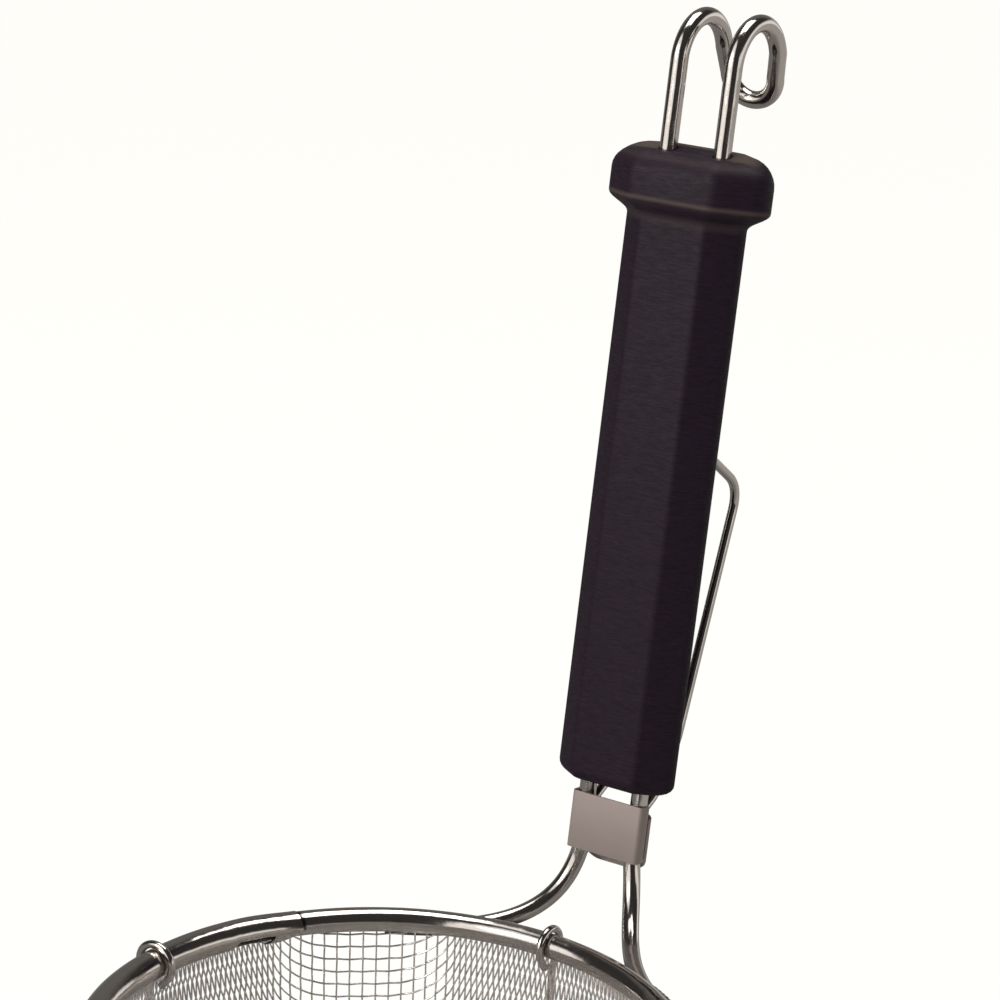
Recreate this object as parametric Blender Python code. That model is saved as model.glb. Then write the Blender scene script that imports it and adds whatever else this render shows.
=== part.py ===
"""Deep wire-mesh strainer basket on a bent-rod handle with a hexagonal grip.

The basket's mouth is level and the handle leans outwards above it, towards +Y. The origin is the point under the
crown of the hang hook, midway between its two arches. Lengths are in metres, +Z is up.
"""
import math

import bmesh
import bpy
from mathutils import Matrix, Vector

GAP = 0.0003

RIM_DIAMETER = 0.148
RIM_TUBE_RADIUS = 0.00325
BAND_WALL = 0.00045
SEAM_CLEARANCE = 0.00007
SEAM_ANGLE = math.radians(-53.5)
SEAM_LAP = math.radians(20.0)
RIM_WIRE_RADIUS = 0.0012
SLOT_CLEARANCE = 0.00035

BASKET_DEPTH = 0.135
BASKET_WALL = 0.001
BASKET_FOOT_RADIUS = 0.0665
BASKET_CORNER_RADIUS = 0.038
BASKET_TOP_REACH = 0.0012
GRID_BARS = 24
GRID_BAR = 0.0027
GRID_WALL_ROWS = 5
GRID_CORNER_ROWS = 3
FLOOR_DISC_RADIUS = 0.018

RIB_RADIUS = 0.001
RIB_INNER_REACH = 0.0072
RIB_HOOK_WRAP = math.radians(32.0)
RIB_TURN = math.radians(1.0)

ROD_RADIUS = 0.00225
ROD_SPACING = 0.0155
HANDLE_TILT = math.radians(8.3)
HANDLE_OFFSET = 0.0962
WELD_ANGLE = math.radians(31.0)
WELD_LENGTH = 0.011
WELD_DROP = 0.0037
WELD_BEAD_RADIUS = 0.0009
YOKE_DROP = 0.0197
YOKE_RUN = 0.0245
YOKE_LEAN = math.radians(10.2)

COLLAR_START = 0.016
COLLAR_HEIGHT = 0.0152
COLLAR_SHEET = 0.0006
COLLAR_CLEARANCE = 0.0001
COLLAR_BEND = 0.0012
COLLAR_WRAP = 0.0006
PLATE_TOP_STEP = 0.0036
PLATE_BOTTOM_STEP = 0.0038
PLATE_CORNER = 0.0065
PLATE_CHAMFER = 0.0026

GRIP_START = 0.0349
GRIP_LENGTH = 0.1627
GRIP_HALF_WIDTH = 0.0188
GRIP_HALF_FLAT = 0.0092
GRIP_HALF_DEPTH = 0.0075
GRIP_EDGE_RADIUS = 0.003
GRIP_END_RADIUS = 0.0032
FLARE_HALF_WIDTH = 0.0264
FLARE_HALF_FLAT = 0.0117
FLARE_HALF_DEPTH = 0.0108
FLARE_HEIGHT = 0.0119
FLARE_NECK = 0.006
FLARE_END_RADIUS = 0.0058
FLARE_EDGE_RADIUS = 0.0055
END_EDGE_SHARE = 0.5
ROD_HOLE_CLEARANCE = 0.0002

HOOK_CROWN = 0.2309
HOOK_RADIUS = 0.0112
HOOK_FLARE = math.radians(20.2)
HOOK_TAIL = 0.0067
HOOK_TAIL_RADIUS = 0.0067

CLIP_RADIUS = 0.00125
CLIP_ROOT_SPREAD = 0.0073
CLIP_ROOT_DEPTH = 0.0123
CLIP_ROOT_SETBACK = 0.00365
CLIP_LEAN = math.radians(13.1)
CLIP_STUB = 0.0010
CLIP_BEND_SHARES = ((0.32, 0.2), (0.7, 0.52))
CLIP_KNEE_RISE = 0.0185
CLIP_KNEE_OUT = 0.0131
CLIP_SHOULDER_RISE = 0.0836
CLIP_TIP_RISE = 0.0956
CLIP_CORNER = 0.0085

RING_STEPS = 72
STEEL = ("polished_steel", (0.62, 0.60, 0.57, 1.0), 1.0, 0.22)
WOVEN = ("woven_steel", (0.66, 0.65, 0.63, 1.0), 1.0, 0.35)
PLASTIC = ("black_plastic", (0.016, 0.014, 0.018, 1.0), 0.0, 0.55)

RIM_RADIUS = RIM_DIAMETER / 2 - RIM_TUBE_RADIUS
ROD_AT = ROD_SPACING / 2


def handle_point(u, q, length):
    """A point from the handle's own frame: u across, q towards the outside, length up the rods."""
    sin, cos = math.sin(HANDLE_TILT), math.cos(HANDLE_TILT)
    return Vector((u, HANDLE_OFFSET + length * sin + q * cos, length * cos - q * sin))


ORIGIN = handle_point(0.0, HOOK_RADIUS, HOOK_CROWN - ROD_RADIUS)


def material(spec):
    name, colour, metallic, roughness = spec
    found = bpy.data.materials.get(name)
    if found:
        return found
    made = bpy.data.materials.new(name)
    made.use_nodes = True
    shader = made.node_tree.nodes["Principled BSDF"]
    shader.inputs["Base Color"].default_value = colour
    shader.inputs["Metallic"].default_value = metallic
    shader.inputs["Roughness"].default_value = roughness
    return made


def add_object(name, mesh, spec, pivot=None):
    """Links a mesh made in the rim's frame as a node, with its origin at pivot where it turns."""
    pivot = pivot or Vector((0.0, 0.0, 0.0))
    place = pivot - ORIGIN if pivot.length else Vector((0.0, 0.0, 0.0))
    mesh.transform(Matrix.Translation(-ORIGIN - place))
    mesh.materials.clear()
    mesh.materials.append(material(spec))
    made = bpy.data.objects.new(name, mesh)
    made.location = place
    bpy.context.scene.collection.objects.link(made)
    return made


def mesh_from(bm, name):
    bmesh.ops.remove_doubles(bm, verts=bm.verts, dist=1e-7)
    bmesh.ops.recalc_face_normals(bm, faces=bm.faces)
    mesh = bpy.data.meshes.new(name)
    bm.to_mesh(mesh)
    bm.free()
    return mesh


def mesh_of_object(temporary):
    """The evaluated mesh of a temporary object, which is then deleted."""
    bpy.context.view_layer.update()
    evaluated = temporary.evaluated_get(bpy.context.evaluated_depsgraph_get())
    mesh = bpy.data.meshes.new_from_object(evaluated)
    bpy.data.objects.remove(temporary)
    return mesh


def wire(points, radius, resolution=2, cyclic=False, radii=None, profile=None):
    """A round wire along points, or a swept profile curve, as one closed mesh."""
    curve = bpy.data.curves.new("wire", "CURVE")
    curve.dimensions = "3D"
    curve.resolution_u = 1
    curve.use_fill_caps = not cyclic
    curve.twist_mode = "Z_UP" if profile else "MINIMUM"
    if profile:
        curve.bevel_mode = "OBJECT"
        curve.bevel_object = profile
    else:
        curve.bevel_depth = radius
        curve.bevel_resolution = resolution
    spline = curve.splines.new("POLY")
    spline.points.add(len(points) - 1)
    for index, (target, point) in enumerate(zip(spline.points, points)):
        target.co = (*point, 1.0)
        target.radius = radii[index] if radii else 1.0
    spline.use_cyclic_u = cyclic
    temporary = bpy.data.objects.new("wire", curve)
    bpy.context.scene.collection.objects.link(temporary)
    mesh = mesh_of_object(temporary)
    bpy.data.curves.remove(curve)
    bm = bmesh.new()
    bm.from_mesh(mesh)
    return mesh_from(bm, "wire")


def arc(centre, start, end, first, second, radius, steps):
    """Points of an arc from angle start to end, in the plane of the axes first and second."""
    points = []
    for step in range(steps + 1):
        angle = start + (end - start) * step / steps
        points.append(centre + first * (radius * math.cos(angle)) + second * (radius * math.sin(angle)))
    return points


def rounded(points, radius, steps=4):
    """Rounds the inner corners of an open run of points."""
    result = [points[0]]
    for before, corner, after in zip(points, points[1:], points[2:]):
        back = (before - corner).normalized()
        ahead = (after - corner).normalized()
        half = back.angle(ahead) / 2
        reach = min(radius / math.tan(half), (before - corner).length * 0.45, (after - corner).length * 0.45)
        start, end = corner + back * reach, corner + ahead * reach
        for step in range(steps + 1):
            t = step / steps
            result.append(start * (1 - t) ** 2 + corner * (2 * t * (1 - t)) + end * t ** 2)
    result.append(points[-1])
    return result


def on_ring(angle, radius, height):
    return Vector((radius * math.sin(angle), radius * math.cos(angle), height))


# Rim


def sleeve_scale():
    return (RIM_TUBE_RADIUS + SEAM_CLEARANCE) / (RIM_TUBE_RADIUS - BAND_WALL)


def band_profile():
    """The rolled strip's section: a tube left open underneath, where the mesh goes in."""
    middle = RIM_TUBE_RADIUS - BAND_WALL / 2
    half_slot = math.asin((BASKET_WALL / 2 + SLOT_CLEARANCE) / middle)
    outline = []
    steps = 14
    for radius, order in ((RIM_TUBE_RADIUS, 1), (RIM_TUBE_RADIUS - BAND_WALL, -1)):
        for step in range(steps + 1)[::order]:
            angle = -math.pi / 2 + half_slot + (2 * math.pi - 2 * half_slot) * step / steps
            outline.append((radius * math.cos(angle), radius * math.sin(angle)))
    curve = bpy.data.curves.new("band_profile", "CURVE")
    curve.dimensions = "2D"
    spline = curve.splines.new("POLY")
    spline.points.add(len(outline) - 1)
    for target, (x, y) in zip(spline.points, outline):
        target.co = (x, y, 0.0, 1.0)
    spline.use_cyclic_u = True
    made = bpy.data.objects.new("band_profile", curve)
    bpy.context.scene.collection.objects.link(made)
    return made


def build_rim():
    step = 2 * math.pi / RING_STEPS
    lap = max(1, round(SEAM_LAP / step))
    count = RING_STEPS + lap + 1
    points = []
    radii = []
    for index in range(count):
        angle = SEAM_ANGLE - lap * step + index * step
        points.append(on_ring(angle, RIM_RADIUS, 0.0))
        swell = min(1.0, max(0.0, (index / (count - 1) - 0.72) / 0.2))
        radii.append(1.0 + (sleeve_scale() - 1.0) * swell)
    profile = band_profile()
    band = wire(points, None, profile=profile, radii=radii)
    outline = profile.data
    bpy.data.objects.remove(profile)
    bpy.data.curves.remove(outline)
    add_object("rim_band", band, STEEL)
    rise = RIM_TUBE_RADIUS - BAND_WALL - RIM_WIRE_RADIUS - GAP / 2
    ring = [on_ring(index * step, RIM_RADIUS, rise) for index in range(RING_STEPS)]
    add_object("rim_wire", wire(ring, RIM_WIRE_RADIUS, 2, cyclic=True), STEEL)


# Basket


def grid_places(rows, length, steps):
    """Shares of a run where its bars and openings begin, and whether what follows is open."""
    pitch = length / rows
    for row in range(rows):
        yield row / rows, False
        for step in range(steps):
            yield (row + (GRID_BAR + (pitch - GRID_BAR) * step / steps) / pitch) / rows, True


def basket_stations():
    """Down the middle of the basket's wall: place, outward direction, whether what follows is open."""
    stations = [((RIM_RADIUS, -BASKET_TOP_REACH), (1.0, 0.0), False)]
    top = (RIM_RADIUS, -RIM_TUBE_RADIUS * sleeve_scale() - BASKET_WALL)
    foot = (BASKET_FOOT_RADIUS, BASKET_CORNER_RADIUS - BASKET_DEPTH)
    for share, is_open in grid_places(GRID_WALL_ROWS, math.dist(top, foot), 1):
        place = (top[0] + (foot[0] - top[0]) * share, top[1] + (foot[1] - top[1]) * share)
        stations.append((place, (1.0, 0.0), is_open))
    floor = BASKET_FOOT_RADIUS - BASKET_CORNER_RADIUS
    for share, is_open in grid_places(GRID_CORNER_ROWS, BASKET_CORNER_RADIUS * math.pi / 2, 3):
        turn = math.pi / 2 * share
        out, down = math.cos(turn), math.sin(turn)
        place = (floor + BASKET_CORNER_RADIUS * out, foot[1] - BASKET_CORNER_RADIUS * down)
        stations.append((place, (out, -down), is_open))
    for radius, is_open in ((floor, False), (floor - GRID_BAR, True), (FLOOR_DISC_RADIUS, False)):
        stations.append(((radius, -BASKET_DEPTH), (0.0, -1.0), is_open))
    return stations


def grid_turns(radius):
    """Directions of the upright bars' two edges and of the middle of each opening."""
    half = math.asin(GRID_BAR / 2 / radius)
    pitch = 2 * math.pi / GRID_BARS
    return [pitch * bar + turn for bar in range(GRID_BARS) for turn in (-half, half, pitch / 2)]


def basket_surface(bm, stations, offset):
    """Rows of points on one face of the wall, offset outwards from its middle."""
    rows = []
    for (radius, height), (out, up), _ in stations:
        turns = grid_turns(radius)
        rows.append([bm.verts.new(on_ring(turn, radius + out * offset, height + up * offset)) for turn in turns])
    return rows


def build_basket():
    stations = basket_stations()
    bm = bmesh.new()
    outer = basket_surface(bm, stations, BASKET_WALL / 2)
    inner = basket_surface(bm, stations, -BASKET_WALL / 2)
    count = 3 * GRID_BARS
    last = len(stations) - 1

    def is_solid(row, column):
        return 0 <= row <= last and not (stations[row][2] and column % 3)

    for row in range(last):
        for column in range(count):
            if not is_solid(row, column):
                continue
            after = (column + 1) % count
            cell = ((row, column), (row, after), (row + 1, after), (row + 1, column))
            for surface in (outer, inner):
                bm.faces.new([surface[i][j] for i, j in cell])
            beside = ((row - 1, column), (row, after), (row + 1, column), (row, (column - 1) % count))
            for index, neighbour in enumerate(beside):
                if not is_solid(*neighbour):
                    (a, b), (c, d) = cell[index], cell[(index + 1) % 4]
                    bm.faces.new((outer[a][b], outer[c][d], inner[c][d], inner[a][b]))
    for surface, offset in ((outer, BASKET_WALL / 2), (inner, -BASKET_WALL / 2)):
        middle = bm.verts.new((0.0, 0.0, -BASKET_DEPTH - offset))
        for column in range(count):
            bm.faces.new((surface[last][column], surface[last][(column + 1) % count], middle))
    for column in range(count):
        after = (column + 1) % count
        if not is_solid(last - 1, column):
            bm.faces.new((outer[last][column], outer[last][after], inner[last][after], inner[last][column]))
    add_object("mesh_basket", mesh_from(bm, "mesh_basket"), WOVEN)


# Ribs


def rib_side(heading, rim_radius, under):
    """Half a rib in the vertical plane of heading, from its hook over the rim; under lowers its middle."""
    across = Vector((math.sin(heading), math.cos(heading), 0.0))
    hook = rim_radius + GAP + RIB_RADIUS
    up = Vector((0.0, 0.0, 1.0))
    clear = BASKET_WALL / 2 + GAP + RIB_RADIUS
    corner_z = -BASKET_DEPTH + BASKET_CORNER_RADIUS
    centre = across * (BASKET_FOOT_RADIUS - BASKET_CORNER_RADIUS) + up * corner_z
    side = [across * (RIM_RADIUS - clear) - up * RIB_INNER_REACH]
    side += arc(across * RIM_RADIUS, math.pi + RIB_HOOK_WRAP, -RIB_HOOK_WRAP, across, up, hook, 10)
    side.append(across * (RIM_RADIUS + clear) - up * (hook + 2 * RIB_RADIUS))
    side += arc(centre, 0.0, math.pi / 2, across, -up, BASKET_CORNER_RADIUS + clear, 7)
    if under:
        middle = -up * (BASKET_DEPTH + clear)
        side.append(across * (8 * RIB_RADIUS) + middle)
        side.append(across * (3 * RIB_RADIUS) + middle - up * (2 * RIB_RADIUS + GAP))
    return side


def build_ribs():
    plain, sleeve = RIM_TUBE_RADIUS, RIM_TUBE_RADIUS * sleeve_scale()
    for name, heading, first, second in (("rib_wire_long", 0.0, plain, plain),
                                         ("rib_wire_cross", math.pi / 2, plain, sleeve)):
        under = name == "rib_wire_cross"
        turn = heading + RIB_TURN
        points = rib_side(turn, first, under) + rib_side(turn + math.pi, second, under)[::-1]
        add_object(name, wire(points, RIB_RADIUS), STEEL)


# Handle rod


def weld_radius():
    reach = RIM_TUBE_RADIUS + ROD_RADIUS + GAP
    return RIM_RADIUS + math.sqrt(reach ** 2 - WELD_DROP ** 2)


def rod_side():
    """The right half of the rod: from its weld, through the collar and grip, over the hook, to the tail's middle."""
    radius = weld_radius()
    start = on_ring(WELD_ANGLE, radius, -WELD_DROP)
    tangent = Vector((math.cos(WELD_ANGLE), -math.sin(WELD_ANGLE), 0.0))
    points = [start + tangent * WELD_LENGTH / 2]
    end = handle_point(ROD_AT, 0.0, COLLAR_START)
    axis = (handle_point(0.0, 0.0, 1.0) - handle_point(0.0, 0.0, 0.0)).normalized()
    lean = axis * math.cos(YOKE_LEAN) - Vector((math.sin(YOKE_LEAN), 0.0, 0.0))
    knots = (start, start - tangent * YOKE_RUN, end - lean * YOKE_DROP, end)
    for step in range(15):
        t = step / 14
        weights = ((1 - t) ** 3, 3 * t * (1 - t) ** 2, 3 * t ** 2 * (1 - t), t ** 3)
        points.append(sum((knot * weight for knot, weight in zip(knots, weights)), Vector((0.0, 0.0, 0.0))))
    outwards = (handle_point(0.0, 1.0, 0.0) - handle_point(0.0, 0.0, 0.0)).normalized()
    crown_centre = handle_point(ROD_AT, HOOK_RADIUS, HOOK_CROWN - HOOK_RADIUS)
    points += arc(crown_centre, math.pi, HOOK_FLARE, outwards, axis, HOOK_RADIUS, 13)
    down = outwards * math.sin(HOOK_FLARE) - axis * math.cos(HOOK_FLARE)
    tail = Vector((0.0, points[-1].y, points[-1].z)) + down * HOOK_TAIL
    points += arc(tail, 0.0, math.pi / 2, Vector((1.0, 0.0, 0.0)), down, HOOK_TAIL_RADIUS, 6)
    return points


def build_rod():
    right = rod_side()
    left = [Vector((-point.x, point.y, point.z)) for point in right[:-1]]
    add_object("handle_rod", wire(right + left[::-1], ROD_RADIUS, 4), STEEL)


def build_welds():
    reach = RIM_TUBE_RADIUS + ROD_RADIUS + GAP
    along = (weld_radius() - RIM_RADIUS) / reach
    to_rim = RIM_TUBE_RADIUS + WELD_BEAD_RADIUS + GAP / 2
    to_rod = ROD_RADIUS + WELD_BEAD_RADIUS + GAP / 2
    run = (to_rim ** 2 - to_rod ** 2 + reach ** 2) / (2 * reach)
    side = math.sqrt(to_rim ** 2 - run ** 2)
    drop = WELD_DROP / reach
    radius = RIM_RADIUS + run * along + side * drop
    height = -run * drop + side * along
    for name, hand in (("weld_left", -1), ("weld_right", 1)):
        lap = WELD_LENGTH / 2 / radius
        angles = [hand * (WELD_ANGLE + lap * (step - 2) / 2) for step in range(5)]
        bead = wire([on_ring(angle, radius, height) for angle in angles], WELD_BEAD_RADIUS, 1)
        add_object(name, bead, STEEL)


# Grip


def grip_section(length, flare, inset):
    """A ring of points: the hexagon between body and flare, moved in by inset, with rounded edges."""
    half_width = GRIP_HALF_WIDTH + (FLARE_HALF_WIDTH - GRIP_HALF_WIDTH) * flare
    half_flat = GRIP_HALF_FLAT + (FLARE_HALF_FLAT - GRIP_HALF_FLAT) * flare
    half_depth = GRIP_HALF_DEPTH + (FLARE_HALF_DEPTH - GRIP_HALF_DEPTH) * flare
    slope = math.atan2(half_depth, half_width - half_flat)
    half_width -= inset / math.sin(slope)
    half_flat -= inset * math.tan(slope / 2)
    half_depth -= inset
    corners = [(half_width, 0.0), (half_flat, half_depth), (-half_flat, half_depth)]
    corners += [(-x, -y) for x, y in corners]
    corners = [Vector((x, y, 0.0)) for x, y in corners]
    edge = GRIP_EDGE_RADIUS + (FLARE_EDGE_RADIUS - GRIP_EDGE_RADIUS) * flare - inset * END_EDGE_SHARE * flare
    ring = []
    for index, corner in enumerate(corners):
        back = (corners[index - 1] - corner).normalized()
        ahead = (corners[(index + 1) % 6] - corner).normalized()
        half = back.angle(ahead) / 2
        reach = edge / math.tan(half)
        centre = corner + (back + ahead).normalized() * (edge / math.sin(half))
        first = corner + back * reach - centre
        turn = math.pi - 2 * half
        for step in range(4):
            spun = first.copy()
            spun.rotate(Matrix.Rotation(turn * step / 3, 3, "Z"))
            ring.append(centre + spun)
    return [handle_point(point.x, point.y, length) for point in ring]


def grip_rings():
    """Stations up the grip: length, share of the flare, inset."""
    top = GRIP_START + GRIP_LENGTH
    edge = top - FLARE_HEIGHT
    rings = []
    for step in range(4):
        angle = math.pi / 2 * step / 3
        rise = GRIP_END_RADIUS * (1 - math.cos(angle))
        rings.append((GRIP_START + rise, 0.0, GRIP_END_RADIUS * (1 - math.sin(angle))))
    for step in range(9):
        t = step / 8
        rings.append((edge - FLARE_NECK * (1 - t), t ** 3 * (t * (6 * t - 15) + 10), 0.0))
    for step in range(5):
        angle = math.pi / 2 * step / 4
        rise = FLARE_END_RADIUS * math.sin(angle)
        rings.append((top - FLARE_END_RADIUS + rise, 1.0, FLARE_END_RADIUS * (1 - math.cos(angle))))
    return rings


def cylinder_along_handle(u, radius, start, end):
    bm = bmesh.new()
    bmesh.ops.create_cone(
        bm, cap_ends=True, segments=12, radius1=radius, radius2=radius, depth=end - start,
    )
    turn = Matrix.Rotation(-HANDLE_TILT, 4, "X")
    bmesh.ops.transform(bm, verts=bm.verts, matrix=Matrix.Translation(handle_point(u, 0.0, (start + end) / 2)) @ turn)
    return mesh_from(bm, "cylinder")


def boolean(mesh, cutters, operation):
    """The mesh after exact Booleans with the cutter meshes."""
    temporary = bpy.data.objects.new("body", mesh)
    bpy.context.scene.collection.objects.link(temporary)
    helpers = []
    for index, cutter_mesh in enumerate(cutters):
        cutter = bpy.data.objects.new(f"cutter_{index}", cutter_mesh)
        bpy.context.scene.collection.objects.link(cutter)
        cutter.hide_render = True
        cutter.display_type = "WIRE"
        helpers.append(cutter)
        modifier = temporary.modifiers.new("cut", "BOOLEAN")
        modifier.operation = operation
        modifier.solver = "EXACT"
        modifier.object = cutter
    result = mesh_of_object(temporary)
    for cutter in helpers:
        bpy.data.objects.remove(cutter)
    return result


def build_grip():
    bm = bmesh.new()
    rings = [[bm.verts.new(point) for point in grip_section(*ring)] for ring in grip_rings()]
    for below, above in zip(rings, rings[1:]):
        for index in range(len(below)):
            after = (index + 1) % len(below)
            bm.faces.new((below[index], below[after], above[after], above[index]))
    bm.faces.new(rings[0])
    bm.faces.new(rings[-1])
    radius = ROD_RADIUS + ROD_HOLE_CLEARANCE
    start, end = GRIP_START - 0.01, GRIP_START + GRIP_LENGTH + 0.01
    cutters = [cylinder_along_handle(hand * ROD_AT, radius, start, end) for hand in (-1, 1)]
    add_object("grip", boolean(mesh_from(bm, "grip"), cutters, "DIFFERENCE"), PLASTIC)


# Collar


def sheet_prism(line, thickness, start, end):
    """Folded sheet: an open line of (u, q) points, its inner side on the left, drawn up the handle."""
    inner = []
    for index, point in enumerate(line):
        before = line[max(index - 1, 0)]
        after = line[min(index + 1, len(line) - 1)]
        first = (point - before).normalized() if index else (after - point).normalized()
        second = (after - point).normalized() if index < len(line) - 1 else first
        normal = Vector((-(first + second).y, (first + second).x)).normalized()
        stretch = 1 / max(0.5, normal.dot(Vector((-first.y, first.x))))
        inner.append(point + normal * thickness * stretch)
    outline = line + inner[::-1]
    bm = bmesh.new()
    bottom = [bm.verts.new(handle_point(point.x, point.y, start)) for point in outline]
    top = [bm.verts.new(handle_point(point.x, point.y, end)) for point in outline]
    count = len(line)
    for ring in (bottom, top):
        for index in range(count - 1):
            other = len(outline) - 1 - index
            bm.faces.new((ring[index], ring[index + 1], ring[other - 1], ring[other]))
    for index in range(len(outline)):
        after = (index + 1) % len(outline)
        bm.faces.new((bottom[index], bottom[after], top[after], top[index]))
    return mesh_from(bm, "sheet")


def collar_half_width():
    return ROD_AT + ROD_RADIUS + COLLAR_CLEARANCE + COLLAR_SHEET


def build_collar_front():
    half = collar_half_width()
    front = -(ROD_RADIUS + COLLAR_CLEARANCE + COLLAR_SHEET)
    corners = [Vector((u, q, 0.0)) for u, q in ((-half, COLLAR_WRAP), (-half, front), (half, front), (half, COLLAR_WRAP))]
    line = [point.xy for point in rounded(corners, COLLAR_BEND, 3)]
    mesh = sheet_prism(line, COLLAR_SHEET, COLLAR_START, COLLAR_START + COLLAR_HEIGHT)
    add_object("collar_front", mesh, STEEL)


def plate_outline_cutter(start, end, half):
    """A slab across the handle whose lower corners are rounded, to trim the back plate."""
    across, axis = Vector((1.0, 0.0)), Vector((0.0, 1.0))
    outline = [Vector((half * 1.5, end * 1.5))]
    right = Vector((half - PLATE_CORNER, start + PLATE_CORNER))
    left = Vector((-half + PLATE_CORNER, start + PLATE_CORNER))
    outline.append(Vector((half * 1.5, start + PLATE_CORNER)))
    outline += [right + across * (PLATE_CORNER * math.cos(a)) - axis * (PLATE_CORNER * math.sin(a))
                for a in (math.pi / 2 * step / 4 for step in range(5))]
    outline += [left - across * (PLATE_CORNER * math.cos(a)) - axis * (PLATE_CORNER * math.sin(a))
                for a in (math.pi / 2 * step / 4 for step in range(4, -1, -1))]
    outline.append(Vector((-half * 1.5, start + PLATE_CORNER)))
    outline.append(Vector((-half * 1.5, end * 1.5)))
    bm = bmesh.new()
    near = [bm.verts.new(handle_point(point.x, -0.05, point.y)) for point in outline]
    far = [bm.verts.new(handle_point(point.x, 0.05, point.y)) for point in outline]
    for index in range(len(outline)):
        after = (index + 1) % len(outline)
        bm.faces.new((near[index], near[after], far[after], far[index]))
    bm.faces.new(near)
    bm.faces.new(far)
    return mesh_from(bm, "cutter")


def plate_back():
    return CLIP_ROOT_SETBACK + CLIP_RADIUS + COLLAR_CLEARANCE + COLLAR_SHEET


def build_collar_back():
    half = collar_half_width()
    back = plate_back()
    start = COLLAR_START - PLATE_BOTTOM_STEP
    end = COLLAR_START + COLLAR_HEIGHT - PLATE_TOP_STEP
    first = COLLAR_WRAP + COLLAR_SHEET / 2
    side = [(half, first), (half, back - PLATE_CHAMFER * 1.4), (half - PLATE_CHAMFER * 0.2, back - PLATE_CHAMFER * 0.8),
            (half - PLATE_CHAMFER * 0.55, back - PLATE_CHAMFER * 0.25), (half - PLATE_CHAMFER, back)]
    line = [Vector(point) for point in side] + [Vector((-u, q)) for u, q in side[::-1]]
    mesh = sheet_prism(line, COLLAR_SHEET, start, end)
    add_object("collar_back", boolean(mesh, [plate_outline_cutter(start, end, half)], "INTERSECT"), STEEL)


# Clip


def clip_top():
    return COLLAR_START + COLLAR_HEIGHT - PLATE_TOP_STEP + COLLAR_SHEET


def build_clip():
    start = clip_top()
    root = CLIP_ROOT_SETBACK
    knee = (root + CLIP_KNEE_OUT, start + CLIP_KNEE_RISE)
    climb = CLIP_SHOULDER_RISE - CLIP_KNEE_RISE
    shoulder = (knee[0] + climb * math.tan(CLIP_LEAN), start + CLIP_SHOULDER_RISE)
    tip = (GRIP_HALF_DEPTH + GAP + CLIP_RADIUS, start + CLIP_TIP_RISE)
    line = [(root, start), (root, start + CLIP_STUB)]
    line += [(root + CLIP_KNEE_OUT * out, start + CLIP_KNEE_RISE * rise) for out, rise in CLIP_BEND_SHARES]
    line += [knee, shoulder, tip]
    right = [handle_point(CLIP_ROOT_SPREAD, q, length) for q, length in line]
    left = [Vector((-point.x, point.y, point.z)) for point in right]
    points = rounded(right + left[::-1], CLIP_CORNER, 5)
    pivot = handle_point(0.0, root, start)
    add_object("clip_wire", wire(points, CLIP_RADIUS, 3), STEEL, pivot=pivot)
    for name, hand in (("clip_root_left", -1), ("clip_root_right", 1)):
        foot = handle_point(hand * CLIP_ROOT_SPREAD, root, start - CLIP_ROOT_DEPTH)
        head = handle_point(hand * CLIP_ROOT_SPREAD, root, start - GAP)
        add_object(name, wire([foot, (foot + head) / 2, head], CLIP_RADIUS, 3), STEEL)


def main():
    for leftover in list(bpy.data.objects):
        bpy.data.objects.remove(leftover)
    build_rim()
    build_basket()
    build_ribs()
    build_rod()
    build_welds()
    build_grip()
    build_collar_front()
    build_collar_back()
    build_clip()


main()
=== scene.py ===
import math

import bpy
import numpy as np
from bpy.props import FloatProperty, FloatVectorProperty, PointerProperty
from mathutils import Matrix, Vector


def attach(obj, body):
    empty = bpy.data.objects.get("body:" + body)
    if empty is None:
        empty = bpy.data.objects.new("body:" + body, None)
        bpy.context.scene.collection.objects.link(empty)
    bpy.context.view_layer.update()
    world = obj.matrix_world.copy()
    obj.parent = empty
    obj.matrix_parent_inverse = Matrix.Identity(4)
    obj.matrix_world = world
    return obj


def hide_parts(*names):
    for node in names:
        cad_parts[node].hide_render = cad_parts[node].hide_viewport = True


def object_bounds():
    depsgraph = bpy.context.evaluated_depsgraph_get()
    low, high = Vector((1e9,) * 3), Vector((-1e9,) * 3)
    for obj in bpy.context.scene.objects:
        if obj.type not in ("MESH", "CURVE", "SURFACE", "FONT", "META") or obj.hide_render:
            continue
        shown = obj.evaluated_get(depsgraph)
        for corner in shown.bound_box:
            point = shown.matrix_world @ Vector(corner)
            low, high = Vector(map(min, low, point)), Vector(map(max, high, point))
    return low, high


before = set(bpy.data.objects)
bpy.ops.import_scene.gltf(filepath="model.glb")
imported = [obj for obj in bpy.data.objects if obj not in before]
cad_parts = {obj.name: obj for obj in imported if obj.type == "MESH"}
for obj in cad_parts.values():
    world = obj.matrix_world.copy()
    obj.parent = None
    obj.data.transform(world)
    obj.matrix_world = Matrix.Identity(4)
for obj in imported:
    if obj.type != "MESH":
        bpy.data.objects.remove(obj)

CAD_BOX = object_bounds()

bl_info = {
    "name": "Mesh strainer basket",
    "version": (1, 0, 0),
    "blender": (4, 5, 0),
    "location": "3D View > Sidebar > Strainer",
    "description": "Dresses a deep wire-mesh strainer basket with its net, wires, grip and finishes",
    "category": "Object",
}

BODY = "strainer"
CLIP_BODY = "clip"
UP = Vector((0.0, 0.0, 1.0))
HANDS = (("left", -1), ("right", 1))


def mm(value):
    return value / 1000


def size(label, text, millimetres):
    return FloatProperty(name=label, description=text, default=mm(millimetres), unit="LENGTH", precision=5)


def angle(label, text, degrees):
    return FloatProperty(name=label, description=text, default=math.radians(degrees), subtype="ANGLE")


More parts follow.
